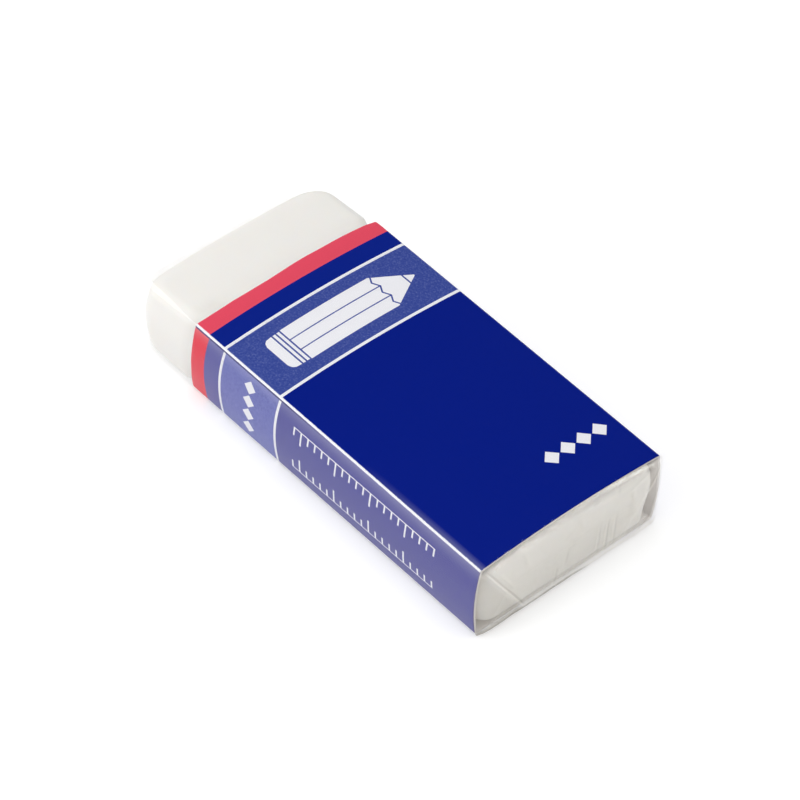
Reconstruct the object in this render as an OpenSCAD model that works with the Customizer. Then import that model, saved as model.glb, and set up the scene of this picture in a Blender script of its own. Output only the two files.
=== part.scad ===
// Rubber eraser: a pillow shaped block in a folded card sleeve, overwrapped in clear film
// whose ends are closed by envelope folds. X runs along the block, with +X at the covered
// end, and Z is up. The origin is under the middle of the pack, on the face it lies on.

/* [Rubber block] */
// Length of the block, end to end
block_l = 51; // [46:0.5:60]
// Width of the block where the sleeve holds it
block_w = 23.3; // [20:0.1:28]
// Height of the block at its thickest
block_h = 8.6; // [7:0.1:12]
// Radius of the upright corners at the bare end, seen from above
corner_r = 3.6; // [3:0.1:5]
// Radius of the upright corners at the covered end, which the sleeve keeps sharper
near_corner_r = 2.3; // [2:0.1:5]
// Radius of the upper long edges
edge_r = 1.3; // [1:0.1:2.6]
// Radius of the lower long edges
base_edge_r = 0.9; // [0.8:0.1:2]
// Radius of the edges across the bare end
end_edge_r = 2.8; // [1.2:0.1:3]
// Radius of the edges across the covered end
near_edge_r = 1.1; // [1:0.1:3]
// How far the block's top swells between its long edges
top_swell = 0.55; // [0.3:0.05:0.8]
// How far the block's sides swell between their edges
side_swell = 0.45; // [0.3:0.05:0.7]
// How far the block's ends swell between their edges
end_swell = 0.15; // [0.05:0.05:0.5]
// How far the block's top falls towards its ends
end_fall = 0.95; // [0.3:0.05:1.2]

/* [Card sleeve] */
// Length of rubber that the sleeve leaves bare, on its middle line
bare_l = 9.7; // [8:0.1:20]
// How far the block stands out of the sleeve's covered end
block_reach = 0.6; // [0.2:0.05:0.8]
// Thickness of the card
card_t = 0.3; // [0.2:0.05:0.4]
// Clearance between the card and the rubber
card_gap = 0.05; // [0.02:0.01:0.2]
// Inner radius of the two top creases
top_crease_in = 0.05; // [0.05:0.05:0.5]
// Inner radius of the two bottom creases
base_crease_in = 0.15; // [0.05:0.05:0.8]
// Width of the flap glued inside the bottom panel
glue_flap_w = 12; // [6:0.5:18]
// Turn of the far cut edge across the top, in degrees
cut_skew = 0.9; // [0:0.1:6]
// Lean of the far cut edge down the sides, in degrees
cut_lean = 1.5; // [0:0.1:6]

/* [Film] */
// Thickness of the film
film_t = 0.05; // [0.03:0.01:0.1]
// Clearance between the film and what it wraps
film_gap = 0.03; // [0.02:0.01:0.1]
// How far the bare rubber stays within the line of the sleeve's outer faces
bare_gap = 0.05; // [0.03:0.01:0.2]
// Width of the long lap seam underneath
seam_w = 6; // [3:0.5:10]
// How far the film's top corners flatten out towards the bare end, in degrees
far_fan = 3.5; // [0:0.5:6]
// Width of the film's slanted rim round the covered end
rim_w = 1.1; // [0.6:0.1:2]
// Height of that rim along the bottom
base_rim_w = 0.4; // [0.3:0.1:2]
// How much of the end's height the top flap covers
top_flap_share = 0.9; // [0.6:0.01:0.95]
// How much of the end's height the bottom flap covers
base_flap_share = 0.6; // [0.4:0.01:0.95]
// How far a flap's slanted edges lean, in degrees from upright
flap_lean = 33; // [20:1:40]

/* [Hidden] */

// Levels, counted up from the face that the pack lies on
card_z = 2 * film_t + film_gap;
block_z = card_z + 2 * card_t + card_gap;
block_top = block_z + block_h;

// Outer radii of the card's creases
top_crease_r = top_crease_in + card_t;
base_crease_r = base_crease_in + card_t;

// The sleeve's creases form an upright rectangle, and the block swells its panels out of it
crease_top = block_top + card_gap + card_t - top_swell;
crease_h = crease_top - card_z;
crease_w = block_w + 2 * (card_gap + card_t - side_swell);
side_y = crease_w / 2 + side_swell;
top_z = crease_top + top_swell;

// Places along X: the block's end, and the sleeve's ends on its middle line
block_end = block_l / 2;
sleeve_near = block_end - block_reach;
sleeve_far = bare_l - block_end;
// Where the sleeve's slanted edge reaches furthest and the rubber is bare all round. It
// swells there along a short length, almost to the line of the sleeve's outer faces
bare_from = sleeve_far - crease_w / 2 * tan(cut_skew) - crease_h * tan(cut_lean);
bare_run = 1.2;
bare_swell = card_gap + card_t - bare_gap;
bare_drop = block_z - card_z - bare_gap;

// The covered end is rounded at least as far as the film's slanted rim runs over it
near_edge = max(near_edge_r, rim_w, base_rim_w);
near_corner = max(near_corner_r, near_edge + 1.1, edge_r + 0.5);

// Level of the block's top along its middle
function fallen_top(x) = block_top - end_fall * pow(x / block_end, 4);

// Longer than the pack in every direction
beyond = 2 * block_l;

// Radius of an arc from its chord and its rise
function arc_r(chord, rise) = (chord * chord / 4 + rise * rise) / (2 * rise);
function unit(v) = v / norm(v);
function ease(t) = let (s = min(1, max(0, t))) s * s * (3 - 2 * s);

// The pack's section in Y and Z: one large arc over the top and one on each side
top_r = arc_r(crease_w, top_swell);
side_r = arc_r(crease_h, side_swell);
top_c = [0, top_z - top_r];
side_c = [side_y - side_r, card_z + crease_h / 2];

// Centre of the small arc that eases each corner of the section
function touching(a, ra, b, rb) = let (
    d = norm(b - a),
    u = (b - a) / d,
    along = (d * d + ra * ra - rb * rb) / (2 * d),
    across = sqrt(ra * ra - along * along))
    a + along * u + across * [-u[1], u[0]];
top_fold = touching(side_c, side_r - top_crease_r, top_c, top_r - top_crease_r);
base_fold_z = card_z + base_crease_r;
base_fold = [
    side_c[0] + sqrt(pow(side_r - base_crease_r, 2) - pow(base_fold_z - side_c[1], 2)),
    base_fold_z];

// Everything behind a plane through p, moved out along its normal n
module half_space(p, n, out = 0)
    translate(p + out * n) rotate([0, -asin(n[2]), atan2(n[1], n[0])])
        translate([-beyond, -beyond, -beyond]) cube([beyond, 2 * beyond, 2 * beyond]);

// Section of the pack, out by a distance from the card's outer side. Its arcs share their
// centres at every distance, so that the panels stay of even thickness
function arc(c, r, from, to, steps) = [for (i = [1:steps]) let (a = from + (to - from) * i / steps)
    c + r * [cos(a), sin(a)]];
function turn(v) = atan2(v[1], v[0]);
function half_section(out) = concat(
    [base_fold - [0, base_crease_r + out]],
    arc(base_fold, base_crease_r + out, -90, turn(base_fold - side_c), 6),
    arc(side_c, side_r + out, turn(base_fold - side_c), turn(top_fold - side_c), 16),
    arc(top_fold, top_crease_r + out, turn(top_fold - side_c), turn(top_fold - top_c), 6),
    arc(top_c, top_r + out, turn(top_fold - top_c), 90, 12));
module pack_section(out) {
    half = half_section(out);
    polygon(concat(half, [for (i = [len(half) - 2:-1:0]) [-half[i][0], half[i][1]]]));
}

// A section in Y and Z, drawn out along X from x0 to x1
module along_x(x0, x1) translate([x0, 0, 0]) rotate([90, 0, 90]) linear_extrude(x1 - x0) children();

module rubber_block() {
    // Half of the outline seen from above, from the covered end to the bare one: each point
    // holds its place and the outward normal there
    corner_steps = 6;
    end_steps = 4;
    side_from = block_end - near_corner;
    side_to = corner_r - block_end;
    bare_to = bare_from - bare_run;
    stations = concat(
        [for (i = [1:9]) side_from + (bare_from - side_from) * i / 9],
        [for (i = [1:4]) bare_from - bare_run * i / 4],
        [for (i = [1:2]) bare_to + (side_to - bare_to) * i / 3]);
    near_flat = block_w / 2 - near_corner;
    far_flat = block_w / 2 - corner_r;
    half_outline = concat(
        [for (i = [0:end_steps - 1]) [block_end, near_flat * (i + 0.5) / end_steps, 1, 0]],
        [for (i = [0:corner_steps]) let (a = 90 * i / corner_steps)
            [side_from + near_corner * cos(a), near_flat + near_corner * sin(a), cos(a), sin(a)]],
        [for (x = stations) [x, block_w / 2, 0, 1]],
        [for (i = [0:corner_steps]) let (a = 90 * i / corner_steps)
            [side_to - corner_r * sin(a), far_flat + corner_r * cos(a), -sin(a), cos(a)]],
        [for (i = [end_steps - 1:-1:0]) [-block_end, far_flat * (i + 0.5) / end_steps, -1, 0]]);
    outline = concat(half_outline,
        [for (i = [len(half_outline) - 1:-1:0]) let (p = half_outline[i]) [p[0], -p[1], p[2], -p[3]]]);

    // Rings up the side: how far each lies in from the outline, first as a share of the
    // swell and then of the edge's radius, the share of the top face in its level, and what
    // it adds to that level as a share of the radius
    arc_steps = 5;
    swell_steps = 4;
    rings = concat(
        [for (i = [0:arc_steps - 1]) let (a = 90 * i / arc_steps)
            [1, 1 - sin(a), 0, 1 - cos(a)]],
        [for (i = [0:swell_steps]) let (s = i / swell_steps)
            [pow(2 * s - 1, 2), 0, s, 1 - 2 * s]],
        [for (i = [1:arc_steps]) let (a = 90 * i / arc_steps)
            [1, 1 - cos(a), 1, sin(a) - 1]]);
    shrink = [0.8, 0.6, 0.4, 0.2];

    // The block's form: it swells out of the sleeve, and its top falls to the sides and ends
    function bare(x) = ease((bare_from - x) / bare_run);
    function wide(p) = [p[0], p[1] * (1 + 2 * bare_swell / block_w * bare(p[0]))];
    function low(p) = block_z - bare_drop * bare(p[0]);
    function high(p) = fallen_top(p[0]) - top_swell * pow(2 * p[1] / block_w, 2) + bare_swell * bare(p[0]);
    function radius(p, share) = (p[2] > 0 ? near_edge : end_edge_r) * pow(p[2], 2)
        + (base_edge_r * (1 - share) + edge_r * share) * pow(p[3], 2);
    function placed(p, r, shrink = 1) = let (
        rad = radius(p, r[2]),
        swell = end_swell * pow(p[2], 2) + side_swell * pow(p[3], 2),
        d = r[0] * swell + r[1] * rad,
        q = wide(shrink * [p[0] - d * p[2], p[1] - d * p[3]]))
        [q[0], q[1], low(q) * (1 - r[2]) + high(q) * r[2] + r[3] * rad];

    points = concat(
        [for (r = rings) for (p = outline) placed(p, r)],
        [for (k = shrink) for (p = outline) placed(p, rings[len(rings) - 1], k)],
        [[0, 0, block_top]]);
    m = len(outline);
    half = len(half_outline);
    top = len(points) - 1;
    // The bottom is level across, so that it is made of strips from side to side
    flat = end_steps + 1;
    faces = concat(
        [[for (i = [m - 1 - flat:m - 1]) i, for (i = [0:flat]) i]],
        [for (i = [flat:half - 2 - flat]) [i, i + 1, m - 2 - i, m - 1 - i]],
        [[for (i = [half - 1 - flat:half + flat]) i]],
        [for (i = [0:m - 1]) let (k = (i + 1) % m) each concat(
            [for (j = [0:m:top - 2 * m]) each [
                [j + i, j + m + i, j + m + k], [j + i, j + m + k, j + k]]],
            [[top, top - m + k, top - m + i]])]);
    color("ivory") polyhedron(points, faces, convexity = 2);
}

module card_sleeve() color("mediumblue") intersection() {
    along_x(-block_end, sleeve_near) {
        difference() {
            pack_section(0);
            pack_section(-card_t);
        }
        // The flap glued inside the bottom panel
        translate([base_fold[0] - glue_flap_w, card_z + card_t / 2]) square([glue_flap_w, 1.5 * card_t]);
    }
    half_space([sleeve_far, 0, crease_top], unit([-1, tan(cut_skew), tan(cut_lean)]));
}

// The form that is wrapped: its section, its outline from above and its outline from the
// side, each moved out by the same distance. Two of them enclose film of even thickness
rim_normal = unit([rim_w, block_reach]);
base_rim_normal = unit([base_rim_w, -block_reach]);
edge_from = end_edge_r + end_swell - block_end;
far_slope = atan((top_z - fallen_top(edge_from) - bare_swell - bare_gap) / (bare_from - edge_from));
slope_normal = [-sin(far_slope), cos(far_slope)];
plan_corner = [corner_r - block_end, side_y - corner_r];
base_corner = [base_edge_r - block_end, card_z + base_edge_r];
fan_root = [sleeve_far, crease_w / 2, crease_top];
fan_normal = unit([-sqrt(2) * tan(far_fan), 1, 1]);
far_edge_r = end_edge_r + film_gap;
far_edge_x = far_edge_r - block_end;
far_edge = [far_edge_x, top_z - ((bare_from - far_edge_x) * sin(far_slope) + far_edge_r) / cos(far_slope)];

// Where two lines through p meet once both are moved out along their normals
function corner(p, n1, n2, out) = p + out * (n1 + n2) / (1 + n1 * n2);

module outline_from_above(out) {
    corner_out = corner_r + out;
    half = concat(
        [corner([block_end, side_y - rim_w], [1, 0], rim_normal, out),
         corner([sleeve_near, side_y], rim_normal, [0, 1], out),
         plan_corner + [0, corner_out]],
        arc(plan_corner, corner_out, 90, 180, 12));
    polygon(concat(half, [for (i = [len(half) - 1:-1:0]) [half[i][0], -half[i][1]]]));
}

// It runs on above the pack, where the section bounds the form by itself
module outline_from_side(out) {
    above = 2;
    polygon(concat(
        [[sleeve_near, top_z] + out * rim_normal + above * [-rim_normal[1], rim_normal[0]],
         corner([block_end, top_z - rim_w], rim_normal, [1, 0], out),
         corner([block_end, card_z + base_rim_w], [1, 0], base_rim_normal, out),
         corner([sleeve_near, card_z], base_rim_normal, [0, -1], out),
         base_corner - [0, base_edge_r + out]],
        arc(base_corner, base_edge_r + out, 270, 180, 6),
        [far_edge - [far_edge_r + out, 0]],
        arc(far_edge, far_edge_r + out, 180, 90 + far_slope, 10),
        [[bare_from, top_z] + out * slope_normal - bare_from * [1, tan(far_slope)]]));
}

module wrapped_form(out) intersection() {
    along_x(-beyond, beyond) pack_section(out);
    half_space(fan_root, fan_normal, out);
    mirror([0, 1, 0]) half_space(fan_root, fan_normal, out);
    linear_extrude(beyond, center = true) outline_from_above(out);
    rotate([90, 0, 0]) linear_extrude(beyond, center = true) outline_from_side(out);
}

// A flap folded over an end, in Y and Z: it starts at a long edge of the end, and its sides
// lean in from the corners as it goes up (way = 1) or down (way = -1)
module end_flap(root_z, way, share) {
    run = share * crease_h;
    root = crease_w / 2;
    tip = root - run * tan(flap_lean);
    overlap = way * edge_r;
    polygon([
        [-root, root_z - overlap], [root, root_z - overlap], [root, root_z],
        [tip, root_z + way * run], [-tip, root_z + way * run], [-root, root_z]]);
}

module film_wrap() {
    skin = film_gap + film_t;
    color([0.9, 0.94, 1, 0.3]) difference() {
        union() {
            wrapped_form(skin);
            for (ends = [[-beyond, base_edge_r / 2 - block_end], [sleeve_near, beyond]]) {
                intersection() {
                    wrapped_form(skin + film_t);
                    along_x(ends[0], ends[1]) end_flap(card_z, 1, base_flap_share);
                }
                intersection() {
                    wrapped_form(skin + 2 * film_t);
                    along_x(ends[0], ends[1]) end_flap(crease_top, -1, top_flap_share);
                }
            }
            // The long lap seam underneath, which the pack lies on
            translate([corner_r - block_end, -seam_w / 2, 0])
                cube([sleeve_near + block_end - corner_r, seam_w, 1.5 * film_t]);
        }
        wrapped_form(film_gap);
    }
}

rubber_block();
card_sleeve();
film_wrap();
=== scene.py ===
import math

import bpy
import numpy as np
from mathutils import Matrix, Vector, noise


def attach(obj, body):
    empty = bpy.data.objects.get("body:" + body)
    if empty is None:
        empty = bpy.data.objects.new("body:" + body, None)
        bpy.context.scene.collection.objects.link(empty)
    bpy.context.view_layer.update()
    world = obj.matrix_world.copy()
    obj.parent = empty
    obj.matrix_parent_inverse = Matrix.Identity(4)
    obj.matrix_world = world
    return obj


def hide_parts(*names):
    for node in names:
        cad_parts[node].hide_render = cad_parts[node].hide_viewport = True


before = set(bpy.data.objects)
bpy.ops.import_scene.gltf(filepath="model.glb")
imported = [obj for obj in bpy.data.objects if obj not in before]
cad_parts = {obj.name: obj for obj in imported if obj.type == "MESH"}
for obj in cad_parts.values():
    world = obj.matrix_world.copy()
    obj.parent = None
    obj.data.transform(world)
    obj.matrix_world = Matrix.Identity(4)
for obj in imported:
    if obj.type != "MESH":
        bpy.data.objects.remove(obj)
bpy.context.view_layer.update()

# The rubber block is one moulded piece of soft white rubber with rounded edges and ends.
# The sleeve squeezes it, so its bare end swells out a little all round. Lengths here and
# below are in millimetres, and become metres as a mesh is made.
MM = 0.001
BLOCK_L, BLOCK_W, BLOCK_TOP, BLOCK_Z = 51.0, 23.3, 9.38, 0.78
CORNER_R, EDGE_R, BASE_EDGE_R, END_EDGE_R = 3.6, 1.3, 0.9, 2.8
NEAR_CORNER_R, NEAR_EDGE_R, LOW_CORNER_MORE = 2.3, 1.1, 1.3
TOP_SWELL, SIDE_SWELL, END_SWELL, END_FALL = 0.55, 0.45, 0.15, 0.95
BARE_FROM, BARE_RUN, BARE_SWELL, BARE_DROP = -16.22, 1.2, 0.38, 0.6
BLOCK_END = BLOCK_L / 2
WAVE_H, WAVES_PER_MM = 0.03, 0.16
RUBBER_DULL, RUBBER_BRIGHT = (0.912, 0.888, 0.845), (0.942, 0.922, 0.885)


def make_piece(name, points, faces, smooth=True):
    """A mesh piece of the pack, from points in millimetres."""
    mesh = bpy.data.meshes.new(name)
    mesh.from_pydata([tuple(float(c) * MM for c in p) for p in points], [], faces)
    mesh.validate()
    mesh.update()
    mesh.polygons.foreach_set("use_smooth", [smooth] * len(mesh.polygons))
    piece = bpy.data.objects.new(name, mesh)
    bpy.context.scene.collection.objects.link(piece)
    return piece


def ease(t):
    """From 0 to 1 with a level start and end."""
    t = np.clip(t, 0.0, 1.0)
    return t * t * (3 - 2 * t)


def rings_to_faces(ring_count, ring_len, first=0):
    """Quads between rings of points that follow each other."""
    return [
        (first + j * ring_len + i, first + j * ring_len + (i + 1) % ring_len,
         first + (j + 1) * ring_len + (i + 1) % ring_len, first + (j + 1) * ring_len + i)
        for j in range(ring_count - 1)
        for i in range(ring_len)
    ]


def block_outline():
    """The block's outline from above: place and outward normal of each point."""
    near, far = BLOCK_END - NEAR_CORNER_R, CORNER_R - BLOCK_END
    near_flat, far_flat = BLOCK_W / 2 - NEAR_CORNER_R, BLOCK_W / 2 - CORNER_R
    turns = [(math.cos(a), math.sin(a)) for a in np.radians(np.linspace(0, 90, 17))]
    half = [(BLOCK_END, near_flat * (i + 0.5) / 12, 1, 0) for i in range(12)]
    half += [(near + NEAR_CORNER_R * c, near_flat + NEAR_CORNER_R * s, c, s) for c, s in turns]
    half += [(x, BLOCK_W / 2, 0, 1) for x in np.linspace(near, far, 81)[1:-1]]
    half += [(far - CORNER_R * s, far_flat + CORNER_R * c, -s, c) for c, s in turns]
    half += [(-BLOCK_END, far_flat * (i + 0.5) / 12, -1, 0) for i in range(11, -1, -1)]
    return np.array(half + [(x, -y, nx, -ny) for x, y, nx, ny in half[::-1]])


def block_points():
    """Rings up the block's side, then in over its top and, last, in over its bottom."""
    out = block_outline()
    turns = np.radians(np.linspace(0, 90, 9))
    rings = [(1, 1 - math.sin(a), 0, 1 - math.cos(a)) for a in turns]
    rings += [((2 * s - 1) ** 2, 0, s, 1 - 2 * s) for s in np.linspace(0, 1, 13)[1:-1]]
    rings += [(1, 1 - math.cos(a), 1, math.sin(a) - 1) for a in turns]
    shrinks = np.linspace(1, 0, 25)[1:-1]
    rows = [(r, 1.0) for r in rings] + [(rings[-1], k) for k in shrinks]
    rows = [(rings[0], k) for k in shrinks[::-1]] + rows
    points = []
    for (swell, edge, share, lift), shrink in rows:
        x, y, nx, ny = out.T
        end_radius = np.where(nx > 0, NEAR_EDGE_R, END_EDGE_R)
        long_radius = BASE_EDGE_R * (1 - share) + EDGE_R * share
        # The covered end's right lower corner is rounder than the rest
        corner = LOW_CORNER_MORE * (1 - share) ** 2 * np.maximum(0, 2 * nx * ny) * (nx > 0)
        radius = end_radius * nx**2 + long_radius * ny**2 + corner
        inset = swell * (END_SWELL * nx**2 + SIDE_SWELL * ny**2) + edge * radius + corner
        px, py = shrink * (x - inset * nx), shrink * (y - inset * ny)
        bare = ease((BARE_FROM - px) / BARE_RUN)
        py = py * (1 + 2 * BARE_SWELL / BLOCK_W * bare)
        low = BLOCK_Z - BARE_DROP * bare
        high = BLOCK_TOP - END_FALL * (px / BLOCK_END) ** 4 - TOP_SWELL * (2 * py / BLOCK_W) ** 2
        high = high + BARE_SWELL * bare
        points.append(np.stack([px, py, low * (1 - share) + high * share + lift * radius], 1))
    return points


def build_block():
    rings = block_points()
    count, size = len(rings), len(rings[0])
    points = np.concatenate(rings + [[[0, 0, BLOCK_Z], [0, 0, BLOCK_TOP]]])
    faces = rings_to_faces(count, size)
    bottom, top, last = len(points) - 2, len(points) - 1, (count - 1) * size
    faces += [(bottom, (i + 1) % size, i) for i in range(size)]
    faces += [(top, last + i, last + (i + 1) % size) for i in range(size)]
    # Moulded rubber is never quite flat: it has shallow, slow waves
    for p in points:
        p[2] += WAVE_H * noise.noise(Vector(p) * WAVES_PER_MM) * min(1.0, (p[2] - BLOCK_Z + BARE_DROP) / 2)
    return make_piece("rubber_block_form", points, faces)


def new_material(name):
    """An empty node material: its node tree, and its principled shader."""
    material = bpy.data.materials.new(name)
    material.use_nodes = True
    return material, material.node_tree, material.node_tree.nodes["Principled BSDF"]


def add_math(tree, operation, a, b=None, c=None, clamp=False):
    """A Math node of the tree. Each input is a number or another node's output."""
    node = tree.nodes.new("ShaderNodeMath")
    node.operation, node.use_clamp = operation, clamp
    for socket, value in zip(node.inputs, (a, b, c)):
        if value is None:
            continue
        if isinstance(value, bpy.types.NodeSocket):
            tree.links.new(value, socket)
        else:
            socket.default_value = value
    return node.outputs[0]


def product(tree, *values):
    """All the values, numbers or outputs, multiplied together."""
    result = values[0]
    for value in values[1:]:
        result = add_math(tree, "MULTIPLY", result, value)
    return result


def mix_colours(tree, share, a, b):
    """Colour a where share is 0 and b where it is 1. Each is a colour or an output."""
    node = tree.nodes.new("ShaderNodeMix")
    node.data_type = "RGBA"
    for socket, value in ((node.inputs[0], share), (node.inputs[6], a), (node.inputs[7], b)):
        if isinstance(value, bpy.types.NodeSocket):
            tree.links.new(value, socket)
        else:
            socket.default_value = value if isinstance(value, float) else (*value, 1)
    return node.outputs[2]


def make_fine_grain():
    """Shader group shared by all finishes: fine grain of a size in millimetres, and slower
    cloudy variation, as a height for bump and a shade for colour."""
    group = bpy.data.node_groups.new("fine_grain", "ShaderNodeTree")
    settings = (("Grain size", 0.01, 10, 0.2), ("Cloud size", 0.1, 50, 5.0), ("Roughness", 0, 1, 0.6))
    for name, low, high, value in settings:
        socket = group.interface.new_socket(name=name, in_out="INPUT", socket_type="NodeSocketFloat")
        socket.min_value, socket.max_value, socket.default_value = low, high, value
    for name in ("Grain", "Clouds"):
        group.interface.new_socket(name=name, in_out="OUTPUT", socket_type="NodeSocketFloat")
    inside, outside = group.nodes.new("NodeGroupInput"), group.nodes.new("NodeGroupOutput")
    place = group.nodes.new("ShaderNodeTexCoord")
    for size, result in (("Grain size", "Grain"), ("Cloud size", "Clouds")):
        field = group.nodes.new("ShaderNodeTexNoise")
        scale = add_math(group, "DIVIDE", 1000.0, inside.outputs[size])
        group.links.new(place.outputs["Object"], field.inputs["Vector"])
        group.links.new(scale, field.inputs["Scale"])
        group.links.new(inside.outputs["Roughness"], field.inputs["Roughness"])
        field.inputs["Detail"].default_value = 4
        group.links.new(field.outputs["Fac"], outside.inputs[result])
    return group


def add_grain(tree, size, clouds, roughness=0.6):
    """The shared grain in a material, with this finish's own sizes in millimetres."""
    node = tree.nodes.new("ShaderNodeGroup")
    node.node_tree = FINE_GRAIN
    for name, value in (("Grain size", size), ("Cloud size", clouds), ("Roughness", roughness)):
        node.inputs[name].default_value = value
    return node.outputs["Grain"], node.outputs["Clouds"]


def add_bump(tree, shader, height, depth_mm, strength=1.0):
    """Bump from a height of 0 to 1 that stands for a depth in millimetres."""
    bump = tree.nodes.new("ShaderNodeBump")
    bump.inputs["Strength"].default_value = strength
    bump.inputs["Distance"].default_value = depth_mm * MM
    tree.links.new(height, bump.inputs["Height"])
    tree.links.new(bump.outputs["Normal"], shader.inputs["Normal"])


def make_rubber():
    """Soft white rubber: matt, a little translucent, with a fine skin and faint clouds."""
    material, tree, shader = new_material("soft_rubber")
    grain, clouds = add_grain(tree, 0.25, 7.0)
    colour = mix_colours(tree, clouds, RUBBER_DULL, RUBBER_BRIGHT)
    tree.links.new(colour, shader.inputs["Base Color"])
    tree.links.new(add_math(tree, "MULTIPLY_ADD", grain, 0.25, 0.45), shader.inputs["Roughness"])
    shader.inputs["Subsurface Weight"].default_value = 0.25
    shader.inputs["Subsurface Radius"].default_value = (1.0, 0.8, 0.6)
    shader.inputs["Subsurface Scale"].default_value = 0.0015
    shader.inputs["Specular IOR Level"].default_value = 0.35
    add_bump(tree, shader, grain, 0.02, 0.4)
    return material


FINE_GRAIN = make_fine_grain()
rubber = build_block()
rubber.data.materials.append(make_rubber())
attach(rubber, "root")
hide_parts("rubber_block")

# The card sleeve is one sheet of coated card 0.3 mm thick, printed on its outside, creased
# along four edges and glued to itself inside the bottom panel. The block bows its panels,
# and its cut edge at the bare end is a little slanted.
CARD_T, CARD_Z = 0.3, 0.13
CREASE_TOP, CREASE_HALF = 9.18, 11.55
SIDE_Y, TOP_Z = 12.0, 9.73
TOP_CREASE_R, BASE_CREASE_R = 0.35, 0.45
SLEEVE_NEAR, SLEEVE_FAR = 24.9, -15.8
MIDDLE_Z, HALF_H = 4.9, 4.8
CUT_SKEW, CUT_LEAN = math.tan(math.radians(0.9)), math.tan(math.radians(1.5))
# The cut edge's shallow waves across the top: the depth, the place in Y and the width of each
CUT_WAVES = ((0.29, 7.5, 5.2), (0.15, 1.6, 2.6))
CUT_BACK, CUT_WANDER, KNIFE_ROUND = 0.11, 0.035, 0.035
GLUE_FLAP_W, GLUE_FLAP_EDGE = 12.0, 11.0


def circle_through(chord, rise):
    return (chord * chord / 4 + rise * rise) / (2 * rise)


def easing_centre(a, ra, b, rb):
    """Centre of the small arc that eases the corner between two large ones."""
    d = math.dist(a, b)
    u = (np.array(b) - np.array(a)) / d
    along = (d * d + ra * ra - rb * rb) / (2 * d)
    return np.array(a) + along * u + math.sqrt(ra * ra - along * along) * np.array([-u[1], u[0]])


def heading(v):
    return math.atan2(v[1], v[0])


def section(out, fine=1):
    """The pack's section in Y and Z at a distance out from the card's outer side: one large
    arc over the top and one on each side, with small arcs at the creases."""
    height = CREASE_TOP - CARD_Z
    top_r, side_r = circle_through(2 * CREASE_HALF, TOP_SWELL), circle_through(height, SIDE_SWELL)
    top_c, side_c = np.array([0, TOP_Z - top_r]), np.array([SIDE_Y - side_r, CARD_Z + height / 2])
    fold = easing_centre(side_c, side_r - TOP_CREASE_R, top_c, top_r - TOP_CREASE_R)
    base_z = CARD_Z + BASE_CREASE_R
    base_y = side_c[0] + math.sqrt((side_r - BASE_CREASE_R) ** 2 - (base_z - side_c[1]) ** 2)
    base = np.array([base_y, base_z])
    half = [(base[0] * (1 - k), CARD_Z - out) for k in np.linspace(1, 0, 20 * fine + 1)[:-1]]
    for centre, r, start, end, steps in (
        (base, BASE_CREASE_R, -math.pi / 2, heading(base - side_c), 8 * fine),
        (side_c, side_r, heading(base - side_c), heading(fold - side_c), 18 * fine),
        (fold, TOP_CREASE_R, heading(fold - side_c), heading(fold - top_c), 10 * fine),
        (top_c, top_r, heading(fold - top_c), math.pi / 2, 26 * fine),
    ):
        for a in np.linspace(start, end, steps + 1)[:-1]:
            half.append((centre[0] + (r + out) * math.cos(a), centre[1] + (r + out) * math.sin(a)))
    half = np.array(half)
    mirrored = half[1:][::-1] * [-1, 1]
    return np.concatenate([half, [[0, TOP_Z + out]], mirrored])


def card_edge(y, z):
    """Where the slanted cut edge lies along X, with the slight bow and wander of a real cut."""
    wander = [CUT_WANDER * noise.noise(Vector((a * 0.5, b * 0.5, 3.1))) for a, b in zip(y, z)]
    bow = sum(depth * np.exp(-(((y - middle) / width) ** 2)) for depth, middle, width in CUT_WAVES)
    bow = bow * (1 - 0.6 * ease((y - 10.2) / 1.3)) * (z > CREASE_TOP - 0.4)
    edge = SLEEVE_FAR - CUT_BACK + y * CUT_SKEW + (z - CREASE_TOP) * CUT_LEAN
    return edge - bow + np.array(wander)


def build_sleeve():
    shares = np.concatenate([[0.0, 0.004], np.linspace(0.02, 0.98, 47), [0.996, 1.0]])
    loops = []
    for out in (0.0, -CARD_T):
        y, z = section(out).T
        far = card_edge(y, z)
        loop = []
        for s in shares:
            # The cut edges of card are pressed slightly round by the knife
            worn = KNIFE_ROUND * (1 if s in (0.0, 1.0) else 0) * (1 if out == 0 else -1)
            scale = np.array([1 - worn / SIDE_Y, 1 - worn / HALF_H])
            ring = (np.stack([y, z - MIDDLE_Z], 1) * scale) + [0, MIDDLE_Z]
            loop.append(np.column_stack([far + (SLEEVE_NEAR - far) * s, ring]))
        loops.append(loop)
    outer, inner = loops
    rings = outer + inner[::-1]
    size = len(outer[0])
    faces = rings_to_faces(len(rings), size)
    last = (len(rings) - 1) * size
    faces += [(last + i, last + (i + 1) % size, (i + 1) % size, i) for i in range(size)]
    faces = [f[::-1] for f in faces]
    sleeve = make_piece("card_sleeve_form", np.concatenate(rings), faces)
    printed = (len(outer) - 1) * size
    for i, polygon in enumerate(sleeve.data.polygons):
        polygon.material_index = 0 if i < printed else 1
        polygon.use_smooth = i < printed or i >= printed + size
    return sleeve


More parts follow.
